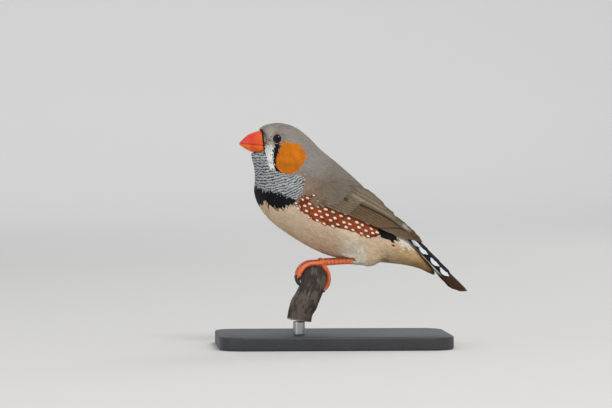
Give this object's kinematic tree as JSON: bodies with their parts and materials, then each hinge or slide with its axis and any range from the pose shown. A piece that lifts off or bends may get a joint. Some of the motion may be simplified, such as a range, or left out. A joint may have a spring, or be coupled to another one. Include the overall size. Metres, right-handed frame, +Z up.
{
  "type": "zebra finch",
  "caption": "Still life-size model of a male zebra finch gripping a short cut twig, held by a flat base and a short rod.",
  "frame": {"origin": "centre of the stand base's underside, on the surface that it stands on", "axes": "+Z up; the bird looks along -X and its left side faces -Y"},
  "size_m": [0.0934, 0.054, 0.0827],
  "materials": {
    "plumage": "soft body feathers",
    "flight_feathers": "smooth vaned feathers",
    "bill": "waxy red-orange horn",
    "eye": "wet gloss",
    "leg_skin": "scaly orange skin",
    "claw": "dark horn",
    "bark": "rough dark bark",
    "stand_paint": "satin paint on wood",
    "stand_metal": "brushed rod"
  },
  "bodies": {
    "root": {"bill_lower": "bill", "bill_upper": "bill", "claw_left_1": "claw", "claw_left_2": "claw", "claw_left_3": "claw", "claw_left_4": "claw", "claw_right_1": "claw", "claw_right_2": "claw", "claw_right_3": "claw", "claw_right_4": "claw", "eye_left": "eye", "eye_right": "eye", "foot_left": "leg_skin", "foot_right": "leg_skin", "head": "plumage", "neck": "plumage", "perch": "bark", "shank_left": "leg_skin", "shank_right": "leg_skin", "stand_base": "stand_paint", "stand_rod": "stand_metal", "tail": "flight_feathers", "thigh_left": "plumage", "thigh_right": "plumage", "torso": "plumage", "wing_left": "flight_feathers", "wing_right": "flight_feathers"}
  },
  "joints": []
}
